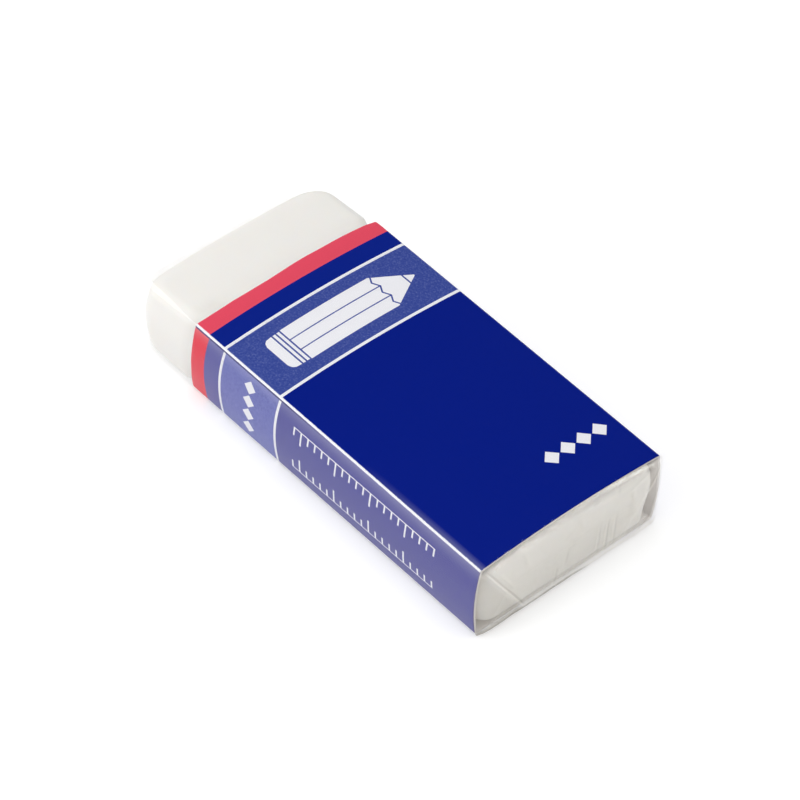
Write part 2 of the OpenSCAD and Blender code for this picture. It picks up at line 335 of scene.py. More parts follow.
def build_glue_flap():
    """The flap of bare card that holds the bottom panel, inside the sleeve."""
    xs = np.linspace(SLEEVE_FAR + 0.4, SLEEVE_NEAR - 0.3, 31)
    ys = np.linspace(GLUE_FLAP_EDGE - GLUE_FLAP_W, GLUE_FLAP_EDGE, 13)
    low, high = CARD_Z + CARD_T + 0.01, CARD_Z + 2 * CARD_T
    points = [(x, y, z) for z in (low, high) for x in xs for y in ys]
    size, nx, ny = len(xs) * len(ys), len(xs), len(ys)

    def at(level, i, j):
        return level * size + i * ny + j

    cells = [(i, j) for i in range(nx - 1) for j in range(ny - 1)]
    faces = [(at(0, i, j), at(0, i, j + 1), at(0, i + 1, j + 1), at(0, i + 1, j)) for i, j in cells]
    faces += [(at(1, i, j), at(1, i + 1, j), at(1, i + 1, j + 1), at(1, i, j + 1)) for i, j in cells]
    rim = [(i, 0) for i in range(nx)] + [(nx - 1, j) for j in range(1, ny)]
    rim += [(i, ny - 1) for i in range(nx - 2, -1, -1)] + [(0, j) for j in range(ny - 2, 0, -1)]
    faces += [(at(0, *a), at(0, *b), at(1, *b), at(1, *a)) for a, b in zip(rim, rim[1:] + rim[:1])]
    return make_piece("glue_flap", points, faces, smooth=False)


def ramp(tree, value, stops, interpolation="CONSTANT"):
    """A colour ramp over (position, colour) stops."""
    node = tree.nodes.new("ShaderNodeValToRGB")
    node.color_ramp.interpolation = interpolation
    elements = node.color_ramp.elements
    while len(elements) > 1:
        elements.remove(elements[-1])
    elements[0].position, elements[0].color = stops[0][0], (*stops[0][1], 1)
    for position, colour in stops[1:]:
        element = elements.new(position)
        element.color = (*colour, 1)
    tree.links.new(value, node.inputs["Fac"])
    return node.outputs["Color"]


def within(tree, value, low, high):
    """1 where the value lies between two numbers."""
    middle, half = (low + high) / 2, (high - low) / 2
    return add_math(tree, "COMPARE", value, middle, half)


INK_WHITE, PINK_EDGE = (0.90, 0.90, 0.94), (0.70, 0.34, 0.52)
# Each printed band from its place along X on: its ink on the wide panels and on the sides, where the blue
# inks are painted paler as the film's sheen
BANDS = (
    (-17.0, (0.82, 0.080, 0.134), (0.80, 0.008, 0.04)),
    (-14.22, PINK_EDGE, PINK_EDGE),
    (-14.16, (0.001, 0.015, 0.26), (0.085, 0.083, 0.34)),
    (-12.08, INK_WHITE, INK_WHITE),
    (-11.78, (0.048, 0.078, 0.34), (0.143, 0.160, 0.485)),
    (-3.78, INK_WHITE, INK_WHITE),
    (-3.48, (0.0, 0.011, 0.245), (0.079, 0.077, 0.325)),
)
PALE_FROM, PALE_TO, PRINT_END = BANDS[4][0], BANDS[5][0], 26.0
# The last colour is the dark ink of the painted shade below the left top crease
BOARD_SPECK, INK_SPECK, CREASE_SHADE_INK = (0.30, 0.36, 0.66), (0.01, 0.03, 0.24), (0.02, 0.02, 0.16)
# The pencil's place in X, its half width and its reach in Y, and its outline from the eraser
# to the tip: places in Y, and the half width there as a share
PENCIL_X, PENCIL_HALF_W, PENCIL_LOW, PENCIL_HIGH, PENCIL_TIP = -7.65, 2.4, -8.5, 9.5, 9.3
PENCIL_OUTLINE = (
    (-8.4, 0.62), (-8.25, 0.82), (-7.9, 0.93), (-7.3, 0.96),
    (-6.3, 0.96), (-6.1, 1.0), (5.2, 1.0), (PENCIL_TIP, 0.03),
)
FERRULE_LINES, LEAD_LINE, LINE_HALF = (-7.15, -6.65, -6.15), 8.25, 0.09
# The middle of the left top crease, where the ink is worn and a highlight is painted, in Y and Z
WORN_Y, WORN_Z = -11.49, 9.11


def pencil_shape(tree, x, y):
    """A pencil that lies across the pack, with its eraser, ferrule, body and sharp tip."""
    off = add_math(tree, "ABSOLUTE", add_math(tree, "SUBTRACT", x, PENCIL_X))
    reach = PENCIL_HIGH - PENCIL_LOW
    along = add_math(tree, "DIVIDE", add_math(tree, "SUBTRACT", y, PENCIL_LOW), reach, clamp=True)
    stops = [((at - PENCIL_LOW) / reach, (share, share, share)) for at, share in PENCIL_OUTLINE]
    width = add_math(tree, "MULTIPLY", ramp(tree, along, stops, "LINEAR"), PENCIL_HALF_W)
    shape = add_math(tree, "LESS_THAN", off, width)
    shape = product(tree, shape, within(tree, y, PENCIL_OUTLINE[0][0], PENCIL_TIP))
    # The gaps: round the ferrule, along the body's edges, the scallops and the lead
    waves = add_math(tree, "PINGPONG", add_math(tree, "ADD", off, 0.8), 0.8)
    scallops = add_math(tree, "MULTIPLY_ADD", waves, -0.55, 5.55)
    from_scallops = add_math(tree, "ABSOLUTE", add_math(tree, "SUBTRACT", y, scallops))
    on_body = add_math(tree, "GREATER_THAN", y, PENCIL_OUTLINE[5][0])
    below_scallops = add_math(tree, "LESS_THAN", y, scallops)
    edges = product(tree, within(tree, off, 0.74, 0.88), on_body, below_scallops)
    gaps = [edges, add_math(tree, "LESS_THAN", from_scallops, 0.1)]
    gaps += [within(tree, y, at - LINE_HALF, at + LINE_HALF) for at in (*FERRULE_LINES, LEAD_LINE)]
    for gap in gaps:
        shape = product(tree, shape, add_math(tree, "SUBTRACT", 1.0, gap))
    return shape


def diamond_row(tree, along, across, first, step, middle, reach):
    """Four diamonds in a row from one place along it, set on a line across it."""
    beat = add_math(tree, "PINGPONG", add_math(tree, "SUBTRACT", along, first), step / 2)
    away = add_math(tree, "SUBTRACT", step / 2, beat)
    off = add_math(tree, "ABSOLUTE", add_math(tree, "SUBTRACT", across, middle))
    shape = add_math(tree, "LESS_THAN", add_math(tree, "ADD", off, away), reach)
    return add_math(tree, "MULTIPLY", shape, within(tree, along, first, first + 4 * step))


def edge_scale(tree, x, z, line, way):
    """A scale along X: a fine line, with a stroke every millimetre and each fifth longer."""
    down = add_math(tree, "MULTIPLY", add_math(tree, "SUBTRACT", z, line), float(way))
    stroke = add_math(tree, "LESS_THAN", add_math(tree, "PINGPONG", x, 0.5), 0.11)
    tall = add_math(tree, "LESS_THAN", add_math(tree, "PINGPONG", x, 2.5), 0.3)
    length = add_math(tree, "MULTIPLY_ADD", tall, 0.75, 1.05)
    stroke = add_math(tree, "MULTIPLY", stroke, add_math(tree, "LESS_THAN", down, length))
    shape = add_math(tree, "MAXIMUM", stroke, add_math(tree, "LESS_THAN", down, 0.13))
    shape = add_math(tree, "MULTIPLY", shape, add_math(tree, "GREATER_THAN", down, 0.0))
    return add_math(tree, "MULTIPLY", shape, within(tree, x, -1.12, 19.12))


def white_marks(tree, x, y, z):
    """The white shapes: a pencil on the pale band, diamonds near the covered end and on the
    side's pale band, and two scales along each side."""
    on_top = add_math(tree, "GREATER_THAN", z, CREASE_TOP)
    on_side = add_math(tree, "GREATER_THAN", add_math(tree, "ABSOLUTE", y), CREASE_HALF - 0.1)
    top_diamonds = diamond_row(tree, y, x, first=1.95, step=2.08, middle=18.95, reach=0.95)
    side_diamonds = diamond_row(tree, z, x, first=1.05, step=1.8, middle=-7.6, reach=0.82)
    top = add_math(tree, "MAXIMUM", pencil_shape(tree, x, y), top_diamonds)
    upper, lower = edge_scale(tree, x, z, 7.35, -1), edge_scale(tree, x, z, 1.75, 1)
    side = add_math(tree, "MAXIMUM", add_math(tree, "MAXIMUM", upper, lower), side_diamonds)
    return add_math(tree, "MAXIMUM", product(tree, top, on_top), product(tree, side, on_side))


def crease_wear_and_light(tree, x, y, z, grain):
    """Along the left top crease: how far the ink shows white, worn to the board and with a painted
    highlight, how far a painted sheen pales the ink beside that, and how dark the painted shade below it
    is."""
    near_end = add_math(tree, "DIVIDE", add_math(tree, "SUBTRACT", x, 8.0), 12.0, clamp=True)
    bare_side = add_math(tree, "DIVIDE", add_math(tree, "SUBTRACT", 5.0, x), 7.0, clamp=True)
    dy = add_math(tree, "SUBTRACT", y, WORN_Y)
    dz = add_math(tree, "SUBTRACT", add_math(tree, "MULTIPLY_ADD", near_end, 0.05, z), WORN_Z)
    away = add_math(tree, "SQRT", add_math(tree, "ADD", product(tree, dy, dy), product(tree, dz, dz)))
    ragged = product(tree, add_math(tree, "SUBTRACT", grain, 0.5), 0.12)
    away = add_math(tree, "ADD", away, ragged)
    above = add_math(tree, "GREATER_THAN", z, WORN_Z)
    below = add_math(tree, "SUBTRACT", 1.0, above)

    def fade(start, end):
        return add_math(tree, "DIVIDE", add_math(tree, "SUBTRACT", end, away), end - start, clamp=True)

    worn_and_highlit = fade(0.10, 0.15)
    crease_sheen = product(tree, fade(0.1, 0.8), above, near_end, 0.14)
    sheen_below = product(tree, fade(0.25, 1.9), below)
    sheen_below = product(tree, sheen_below, sheen_below, 0.15)
    crease_shade = product(tree, fade(0.25, 0.32), below, bare_side)
    return worn_and_highlit, add_math(tree, "MAXIMUM", crease_sheen, sheen_below), crease_shade


def make_printed_card():
    """Coated card printed in flat bands that wrap round all four panels, with thin white lines between
    them. The pale band is a fine screen. Along the left top crease the ink is worn white under a painted
    highlight, with a painted sheen beside it and painted shade below it, and the side panels' blue inks
    are painted paler as the film's sheen."""
    material, tree, shader = new_material("printed_card")
    place = tree.nodes.new("ShaderNodeTexCoord")
    parts = tree.nodes.new("ShaderNodeSeparateXYZ")
    tree.links.new(place.outputs["Object"], parts.inputs[0])
    x, y, z = (add_math(tree, "MULTIPLY", parts.outputs[axis], 1000.0) for axis in "XYZ")
    grain, clouds = add_grain(tree, 0.22, 4.0, 0.7)
    across = add_math(tree, "ABSOLUTE", y)
    on_side = add_math(tree, "DIVIDE", add_math(tree, "SUBTRACT", across, 11.46), 0.1, clamp=True)
    # The panels bulge, and the printed lines with them
    level = add_math(tree, "DIVIDE", add_math(tree, "SUBTRACT", z, 4.65), 4.5)
    bulge = add_math(tree, "SUBTRACT", 1.0, product(tree, level, level))
    at = add_math(tree, "MULTIPLY_ADD", product(tree, bulge, on_side), 0.3, x)
    # The print is a little askew on the wide panels
    askew = add_math(tree, "MULTIPLY_ADD", y, 0.006, 0.06)
    askew = add_math(tree, "MULTIPLY_ADD", add_math(tree, "SUBTRACT", 0.19, askew), on_side, askew)
    at = add_math(tree, "SUBTRACT", at, askew)
    start, length = BANDS[0][0], PRINT_END - BANDS[0][0]
    along = add_math(tree, "DIVIDE", add_math(tree, "SUBTRACT", at, start), length, clamp=True)
    wide = ramp(tree, along, [((place - start) / length, ink) for place, ink, _ in BANDS])
    # On the sides the blue inks are paler: a painted sheen
    side_inks_with_sheen = ramp(tree, along, [((place - start) / length, ink) for place, _, ink in BANDS])
    colour = mix_colours(tree, on_side, wide, side_inks_with_sheen)
    # The pale band's screen lets specks of board and of full ink through
    pale = within(tree, at, PALE_FROM, PALE_TO)
    speck = product(tree, add_math(tree, "SUBTRACT", grain, 0.5), 3.2, pale)
    light, dark = (add_math(tree, "MULTIPLY", speck, share, clamp=True) for share in (0.35, -0.6))
    colour = mix_colours(tree, light, colour, BOARD_SPECK)
    colour = mix_colours(tree, dark, colour, INK_SPECK)
    # Painted light along the left top crease: a highlight over the worn ink, a sheen beside it and shade
    # below it
    worn_and_highlit, crease_sheen, crease_shade = crease_wear_and_light(tree, x, y, z, grain)
    colour = mix_colours(tree, crease_sheen, colour, INK_WHITE)
    colour = mix_colours(tree, crease_shade, colour, CREASE_SHADE_INK)
    colour = mix_colours(tree, white_marks(tree, x, y, z), colour, INK_WHITE)
    colour = mix_colours(tree, worn_and_highlit, colour, INK_WHITE)
    tree.links.new(colour, shader.inputs["Base Color"])
    shader.inputs["Specular IOR Level"].default_value = 0.04
    tree.links.new(add_math(tree, "MULTIPLY_ADD", clouds, 0.12, 0.35), shader.inputs["Roughness"])
    add_bump(tree, shader, grain, 0.004, 0.3)
    return material


def make_board():
    """The uncoated inside and the cut edges of the card: pale fibrous board."""
    material, tree, shader = new_material("bare_board")
    grain, clouds = add_grain(tree, 0.12, 1.5, 0.8)
    colour = mix_colours(tree, clouds, (0.80, 0.76, 0.74), (0.90, 0.87, 0.86))
    tree.links.new(colour, shader.inputs["Base Color"])
    tree.links.new(add_math(tree, "MULTIPLY_ADD", grain, 0.1, 0.85), shader.inputs["Roughness"])
    add_bump(tree, shader, grain, 0.03, 0.6)
    return material


board = make_board()
sleeve = build_sleeve()
sleeve.data.materials.append(make_printed_card())
sleeve.data.materials.append(board)
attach(sleeve, "root")
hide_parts("card_sleeve")
glue_flap = build_glue_flap()
glue_flap.data.materials.append(board)
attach(glue_flap, "root")
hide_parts("card_sleeve")

# The film is one thin clear sheet shrunk tight round the block and the sleeve. It bridges
# from the sleeve's sharp creases to the rounded bare end, and both ends are closed by
# envelope folds that leave creases and doubled edges.
FILM_OUT = 0.08
END_OUT = BLOCK_END + FILM_OUT
RIM_W, BASE_RIM_W = 1.1, 0.4
# Past the sleeve it slopes down to the bare end, and its top corners flatten out into fans
EDGE_FROM = END_EDGE_R + END_SWELL - BLOCK_END
FALLEN = BLOCK_TOP - END_FALL * (EDGE_FROM / BLOCK_END) ** 4
FAR_SLOPE = math.atan((TOP_Z - FALLEN - BARE_SWELL - 0.05) / (BARE_FROM - EDGE_FROM))
FAN_ANGLE = math.radians(2.4)
FAN_NORMAL = np.array([-math.sqrt(2) * math.tan(FAN_ANGLE), 1.0, 1.0])
FAN_NORMAL /= np.linalg.norm(FAN_NORMAL)
# It turns over the bare end by these radii, about these places
FAR_TOP_R, FAR_SIDE_R = END_EDGE_R + 0.03 + FILM_OUT, CORNER_R + FILM_OUT
FAR_BASE_R = BASE_EDGE_R + FILM_OUT
FAR_TOP_X, FAR_SIDE_X, FAR_BASE_X = (r - END_OUT for r in (FAR_TOP_R, FAR_SIDE_R, FAR_BASE_R))
FAR_DROP = (BARE_FROM - FAR_TOP_X) * math.sin(FAR_SLOPE)
FAR_TOP_Z = TOP_Z + (FILM_OUT - FAR_DROP - FAR_TOP_R) / math.cos(FAR_SLOPE)
FAR_SIDE_Y = SIDE_Y - CORNER_R
FAR_BASE_Z = CARD_Z + BASE_EDGE_R
FLAP_SLANT = math.tan(math.radians(33))
SEAM_HALF = 3.0
FACE_ON_MIRROR = 0.04
# The folded film's mirror colour, and the dark colour of its painted shade
FILM_BRIGHT, FILM_SHADE_PAINT = (0.94, 0.915, 0.85), (0.27, 0.23, 0.16)


def soft_above(d, width):
    """d where it is well above 0 and 0 well below, eased over a width."""
    return 0.5 * (d + np.sqrt(d * d + width * width)) - 0.5 * width * np.exp(-np.maximum(d, 0) / width)


def soft_least(a, b, width=0.05):
    """The smaller of two lengths, eased where they cross."""
    return 0.5 * (a + b - np.sqrt((a - b) ** 2 + width * width))


def arc_reach(r, d):
    return math.sqrt(max(0.0, r * r - max(0.0, d) ** 2))


def film_ring(x, profile):
    """The film's section at X on the bare side and over the sleeve. It keeps within the
    sloping top, the rounded ends and the fans of the top corners."""
    y, z = profile.T.copy()
    half = FAR_SIDE_Y + arc_reach(FAR_SIDE_R, FAR_SIDE_X - x)
    top = FAR_TOP_Z + arc_reach(FAR_TOP_R, FAR_TOP_X - x)
    if x > FAR_TOP_X - FAR_TOP_R * math.sin(FAR_SLOPE):
        top = TOP_Z + FILM_OUT / math.cos(FAR_SLOPE) - (BARE_FROM - x) * math.tan(FAR_SLOPE)
    base = FAR_BASE_Z - arc_reach(FAR_BASE_R, FAR_BASE_X - x)
    crease_y, crease_z, bottom = CREASE_HALF + FILM_OUT, CREASE_TOP, CARD_Z - FILM_OUT
    least_y = float(soft_least(np.array(crease_y), half))
    y = np.where(np.abs(y) < crease_y, y * least_y / crease_y, np.sign(y) * soft_least(np.abs(y), half))
    least_z = float(soft_least(np.array(crease_z), top))
    z = np.where(
        z > crease_z,
        soft_least(z, top),
        np.where(
            z > MIDDLE_Z,
            MIDDLE_Z + (z - MIDDLE_Z) * (least_z - MIDDLE_Z) / (crease_z - MIDDLE_Z),
            MIDDLE_Z - (MIDDLE_Z - z) * (MIDDLE_Z - max(base, bottom)) / (MIDDLE_Z - bottom),
        ),
    )
    over = (x - SLEEVE_FAR) * FAN_NORMAL[0] + (np.abs(y) - CREASE_HALF) * FAN_NORMAL[1]
    over = over + (z - CREASE_TOP) * FAN_NORMAL[2] - FILM_OUT
    back = soft_above(over, 0.04) / (FAN_NORMAL[1] ** 2 + FAN_NORMAL[2] ** 2)
    y = y - np.sign(y) * back * FAN_NORMAL[1]
    return np.column_stack([np.full(len(y), x), y, z - back * FAN_NORMAL[2]])


# Fold lines of the covered end, each from one point in Y and Z to another, with the height
# and the width of its ridge. The rest of them, and those of the bare end, are drawn by lot.
COVERED_FOLDS = [
    (-11.7, 2.8, -8.4, 0.8, 0.11, 0.30), (-11.8, 5.9, -9.3, 3.4, 0.07, 0.40),
    (-9.9, 8.5, -7.2, 4.4, 0.06, 0.45), (3.0, 0.9, 3.2, 6.0, 0.07, 0.34),
    (4.1, 0.7, 4.3, 6.4, 0.08, 0.32), (5.2, 0.8, 5.3, 6.6, 0.07, 0.34),
    (-2.7, 0.6, -2.2, 3.8, 0.08, 0.35), (-1.2, 3.0, -0.9, 5.2, 0.05, 0.4),
    (11.5, 8.7, 9.4, 5.6, 0.12, 0.3), (11.8, 6.2, 10.5, 2.2, 0.14, 0.28),
    (11.5, 3.0, 8.6, 0.5, 0.13, 0.26), (10.6, 8.8, 6.6, 7.4, 0.06, 0.4),
    (-3.0, 0.95, 4.6, 0.85, -0.10, 0.2), (5.4, 0.9, 9.8, 1.7, 0.08, 0.25),
    (-6.4, 8.7, -5.8, 6.4, 0.06, 0.35), (0.6, 8.9, 1.4, 6.7, 0.05, 0.4),
    (7.6, 8.4, 8.0, 5.0, 0.05, 0.35), (-8.8, 1.2, -5.2, 0.7, 0.09, 0.25),
]
RIGHT_FOLDS = COVERED_FOLDS[8:11]


def random_folds(seed, count):
    draw = np.random.default_rng(seed)
    folds = []
    for _ in range(count):
        y, z = draw.uniform(-10.5, 10.5), draw.uniform(0.6, 8.6)
        turn, length = draw.normal(math.pi / 2, 0.7), draw.uniform(0.8, 3.6)
        folds.append((y, z, y + length * math.cos(turn), z + length * math.sin(turn),
                      draw.uniform(-0.05, 0.07), draw.uniform(0.18, 0.45)))
    return folds


SMALL_FOLDS, BARE_FOLDS = random_folds(4, 46), random_folds(11, 64)


def fold_relief(y, z, folds):
    """Height of the ridges at points in Y and Z. A ridge is a sharp crest that fades out."""
    relief = np.zeros_like(y)
    for y0, z0, y1, z1, height, width in folds:
        dy, dz = y1 - y0, z1 - z0
        t = np.clip(((y - y0) * dy + (z - z0) * dz) / (dy * dy + dz * dz), 0, 1)
        distance = np.hypot(y - y0 - t * dy, z - z0 - t * dz)
        along = 0.35 + 0.65 * np.sin(math.pi * np.clip(t, 0.08, 0.92))
        relief += height * along * np.exp(-distance / width)
    return relief


def fold_marks(y, z, folds):
    """How far each point lies on a fold's crest, where a highlight is painted, and at its foot, where
    shade is painted.
    """
    crest, shade = np.zeros_like(y), np.zeros_like(y)
    for y0, z0, y1, z1, height, width in folds:
        dy, dz = y1 - y0, z1 - z0
        length = math.hypot(dy, dz)
        t = np.clip(((y - y0) * dy + (z - z0) * dz) / length**2, 0, 1)
        distance = np.hypot(y - y0 - t * dy, z - z0 - t * dz)
        beside = ((y - y0) * dz - (z - z0) * dy) / length
        weight = abs(height) / 0.13 * np.sin(math.pi * np.clip(t, 0.04, 0.96))
        crest += weight * np.exp(-((distance / 0.13) ** 2))
        shade += weight * np.exp(-(((distance - 0.3) / (0.4 * width + 0.06)) ** 2)) * (beside > 0)
    return crest, shade


def keep_marks(piece, crest, shade, haze, sheet):
    """Marks that the film's shader reads: painted highlights on crests and painted shade, how far the film
    is folded, and how far the sheet has come away from the one below it."""
    for name, values in (("crest", crest), ("shade", shade), ("haze", haze), ("sheet", sheet)):
        layer = piece.data.attributes.new(name, "FLOAT", "POINT")
        layer.data.foreach_set("value", np.clip(values, 0, 1.6).astype(np.float32))


def slow_relief(y, z, seed):
    """Slow waves in film that nothing holds down."""
    return np.array([noise.noise(Vector((a * 0.45, b * 0.6, seed))) for a, b in zip(y, z)])


def covered_end_x(y, z):
    """Where the film over the covered end lies along X: a slanted rim, then the flat end."""
    rise = np.minimum(1.0, (TOP_Z + FILM_OUT - z) / RIM_W)
    rise = soft_least(rise, (SIDE_Y + FILM_OUT - np.abs(y)) / RIM_W)
    rise = soft_least(rise, (z - CARD_Z + FILM_OUT) / BASE_RIM_W)
    rise = np.clip(soft_least(rise, 1.0 + 0 * rise), 0, 1)
    start = SLEEVE_NEAR + 0.04
    puff = 0.08 * slow_relief(y, z, 1.7) + fold_relief(y, z, COVERED_FOLDS + SMALL_FOLDS)
    return start + (END_OUT - start) * rise + ease(rise) ** 2 * np.maximum(puff, -0.04)


def bare_end_x(y, z):
    """Where the film over the bare end lies along X: rounded at the sides, top and base."""
    ay = np.abs(y)
    side = FAR_SIDE_X - np.sqrt(np.maximum(0, FAR_SIDE_R**2 - np.maximum(0, ay - FAR_SIDE_Y) ** 2))
    top = FAR_TOP_X - np.sqrt(np.maximum(0, FAR_TOP_R**2 - np.maximum(0, z - FAR_TOP_Z) ** 2))
    base = FAR_BASE_X - np.sqrt(np.maximum(0, FAR_BASE_R**2 - np.maximum(0, FAR_BASE_Z - z) ** 2))
    fan = FILM_OUT - (ay - CREASE_HALF) * FAN_NORMAL[1] - (z - CREASE_TOP) * FAN_NORMAL[2]
    fan = SLEEVE_FAR + fan / FAN_NORMAL[0]
    deep = np.maximum(np.maximum(side, top), np.maximum(base, fan))
    puff = 0.06 * slow_relief(y, z, 5.3) + fold_relief(y, z, BARE_FOLDS)
    return deep - np.clip((-END_OUT + 1.6 - deep) / 1.6, 0, 1) * np.maximum(puff, -0.03)


def ripple(walls):
    """Tension ripples over the top, which only bend what the film mirrors there, and fine
    puckers where it turns down over the bare end."""
    for ring in walls:
        for p in ring:
            if p[2] > MIDDLE_Z:
                p[2] += 0.012 * noise.noise(Vector((p[0] * 0.22, p[1] * 0.35, 7.0)))
            pucker = 0.17 * noise.noise(Vector((p[0] * 0.35, p[1] * 0.9, p[2] * 0.35)))
            pucker += 0.06 * noise.noise(Vector((p[0] * 0.8, p[1] * 2.2, 3.0)))
            turned = float(ease((FAR_TOP_X - 0.6 - p[0]) / 1.2))
            before_end = float(ease((p[0] + END_OUT - 0.05) / 0.35))
            p[0] -= max(pucker, -0.02) * turned * before_end


def mark_skin(skin, points):
    """Painted light on the film over the covered end: a painted highlight along the top of its rim,
    painted shade along its foot, and painted warm shade beside the top flap's slanted edge. The folds'
    painted crest highlights and shade show where the film is folded over either end and on the covered
    end's right rim."""
    x, y, z = points.T
    crest, shade = fold_marks(y, z, RIGHT_FOLDS + SMALL_FOLDS)
    haze = np.clip(np.where(x > 0, (x - 25.15) / 0.4, (-x - 25.0) / 0.5), 0, 1)
    on_covered_end = x > SLEEVE_NEAR
    fallen = TOP_SWELL * (2 * y / BLOCK_W) ** 2
    right = ease((y + 2) / 6)
    below_top = (TOP_Z + FILM_OUT - fallen - z - 0.45 + 0.22 * right) / (0.42 - 0.2 * right)
    # A painted highlight along the top of the rim
    top_rim_highlight = (0.65 + 0.25 * ease((y - 2) / 5)) * (1 - 0.5 * ease((np.abs(y) - 9.8) / 1.2))
    top_rim_highlight = top_rim_highlight * np.exp(-(below_top**2)) * on_covered_end
    # Painted shade along the rim's foot
    foot_shade = np.exp(-(((z - 0.4) / 0.4) ** 2)) * (1 - 0.75 * ease(y / 3.5))
    foot_shade = foot_shade * (1 - 0.5 * ease((-7.0 - y) / 3)) * on_covered_end
    # Painted warm shade beside the top flap's slanted edge
    beside = ease(((CREASE_TOP - z) * FLAP_SLANT - CREASE_HALF - y) / 0.5)
    beside = beside * (z < CREASE_TOP) * on_covered_end
    right_rim = 0.8 * ease((y - 10.4) / 0.5) * on_covered_end
    creased = np.maximum(haze, right_rim)
    crest = 0.5 * crest * creased + top_rim_highlight
    shade = 0.4 * shade * creased + foot_shade + 0.33 * beside
    haze = np.maximum.reduce([0.5 * haze, np.minimum(1, top_rim_highlight), foot_shade, beside, right_rim])
    keep_marks(skin, crest, shade, haze, np.ones(len(x)))


def build_film_skin():
    """The film's single layer: its walls from end to end, and the skin over each end."""
    profile = section(FILM_OUT, fine=2)
    size = len(profile)
    turns = np.radians(np.linspace(90, 0, 21))
    xs = [-END_OUT + FAR_SIDE_R * (1 - math.sin(a)) for a in turns]
    xs += list(np.linspace(xs[-1], BARE_FROM - 0.4, 22)[1:])
    xs += [BARE_FROM + step for step in (-0.2, 0.0, 0.2, 0.45, 0.8)]
    xs += list(np.linspace(BARE_FROM + 1.5, SLEEVE_NEAR - 0.1, 46))
    walls = [film_ring(x, profile) for x in xs]
    ripple(walls)
    centre = np.array([0.0, MIDDLE_Z])
    covered = []
    for k in np.concatenate([np.linspace(1, 0.8, 25), np.linspace(0.8, 0.03, 42)[1:]]):
        yz = centre + (profile - centre) * k
        covered.append(np.column_stack([covered_end_x(*yz.T), yz]))
    bare = []
    for k in np.linspace(0.97, 0.04, 34):
        yz = centre + (walls[0][:, 1:] - centre) * k
        bare.append(np.column_stack([bare_end_x(*yz.T), yz]))
    rings = bare[::-1] + walls + covered
    points = np.concatenate(rings + [[[-END_OUT, 0, MIDDLE_Z], [END_OUT, 0, MIDDLE_Z]]])
    faces = [f[::-1] for f in rings_to_faces(len(rings), size)]
    last, far, near = (len(rings) - 1) * size, len(points) - 2, len(points) - 1
    faces += [(far, i, (i + 1) % size)[::-1] for i in range(size)]
    faces += [(near, last + (i + 1) % size, last + i)[::-1] for i in range(size)]
    skin = make_piece("film_skin", points, faces)
    smooth_from, smooth_to = len(bare) * size, (len(bare) + len(walls) - 1) * size
    for i, polygon in enumerate(skin.data.polygons):
        polygon.material_index = 0 if smooth_from <= i < smooth_to else 1
    mark_skin(skin, points)
    return skin


def build_end_flap(name, end_x, way, start, run, widest, lift):
    """A flap folded over an end, from its root level down (way -1) or up (way 1), with its
    sides leaning in. It lies on what is under it, and its free edges stand up a little."""
    root_half, root = CREASE_HALF - 0.03, CREASE_TOP if way < 0 else CARD_Z
    rows, columns = 60, 190
    points = []
    for i in range(rows + 1):
        far = start + (run - start) * i / rows
        slanted = root_half - far * FLAP_SLANT
        half = min(slanted, widest)
        for j in range(columns + 1):
            y = half * (2 * j / columns - 1)
            points.append((y, root + way * far, min(slanted - abs(y), run - far), far - start))
    y, z, edge, root_far = np.array(points).T
    side = 1 if end_x is covered_end_x else -1
    curl = 0.02 if way > 0 else 0.10 if side > 0 else 0.04
    rise = lift * ease(root_far / 1.5) + curl * np.exp(-edge / 0.14) * ease(root_far / 2.5)
    x = end_x(y, z) + side * rise
    n = columns + 1
    cells = [(i, j) for i in range(rows) for j in range(columns)]
    faces = [(i * n + j, i * n + j + 1, (i + 1) * n + j + 1, (i + 1) * n + j) for i, j in cells]
    if side * way < 0:
        faces = [f[::-1] for f in faces]
    flap = make_piece(name, np.column_stack([x, y, z]), faces)
    crest, shade = fold_marks(y, z, COVERED_FOLDS if side > 0 else BARE_FOLDS)
    # Painted highlight along the flaps' free edges and painted shade just inside them: stronger on the top
    # flaps, most along their left side
    edge_mark_strength = 0.2 + 0.5 * ease((-4.0 - y) / 3.0) if way < 0 else 0.06
    edge_highlight = edge_mark_strength * np.exp(-(((edge - 0.06) / 0.09) ** 2))
    inner = 0.6 * edge_mark_strength * np.exp(-(((edge - 0.34) / 0.16) ** 2))
    haze = np.full(len(y), 1.0 if way < 0 else 0.5)
    keep_marks(flap, 0.7 * crest + edge_highlight, 0.4 * shade + inner, haze, ease(root_far / 0.8))
    return flap


def build_film_seam():
    """The lap seam: a strip of the sheet's two edges, one over the other, underneath."""
    xs, ys = np.linspace(FAR_SIDE_X, SLEEVE_NEAR, 60), np.linspace(-SEAM_HALF, SEAM_HALF, 13)
    low, joined = 0.004, CARD_Z - FILM_OUT - 0.004
    points = [(x, y, low if abs(y) < SEAM_HALF - 0.05 else joined) for x in xs for y in ys]
    n = len(ys)
    cells = [(i, j) for i in range(len(xs) - 1) for j in range(n - 1)]
    faces = [(i * n + j, i * n + j + 1, (i + 1) * n + j + 1, (i + 1) * n + j) for i, j in cells]
    return make_piece("film_seam", points, faces, smooth=False)


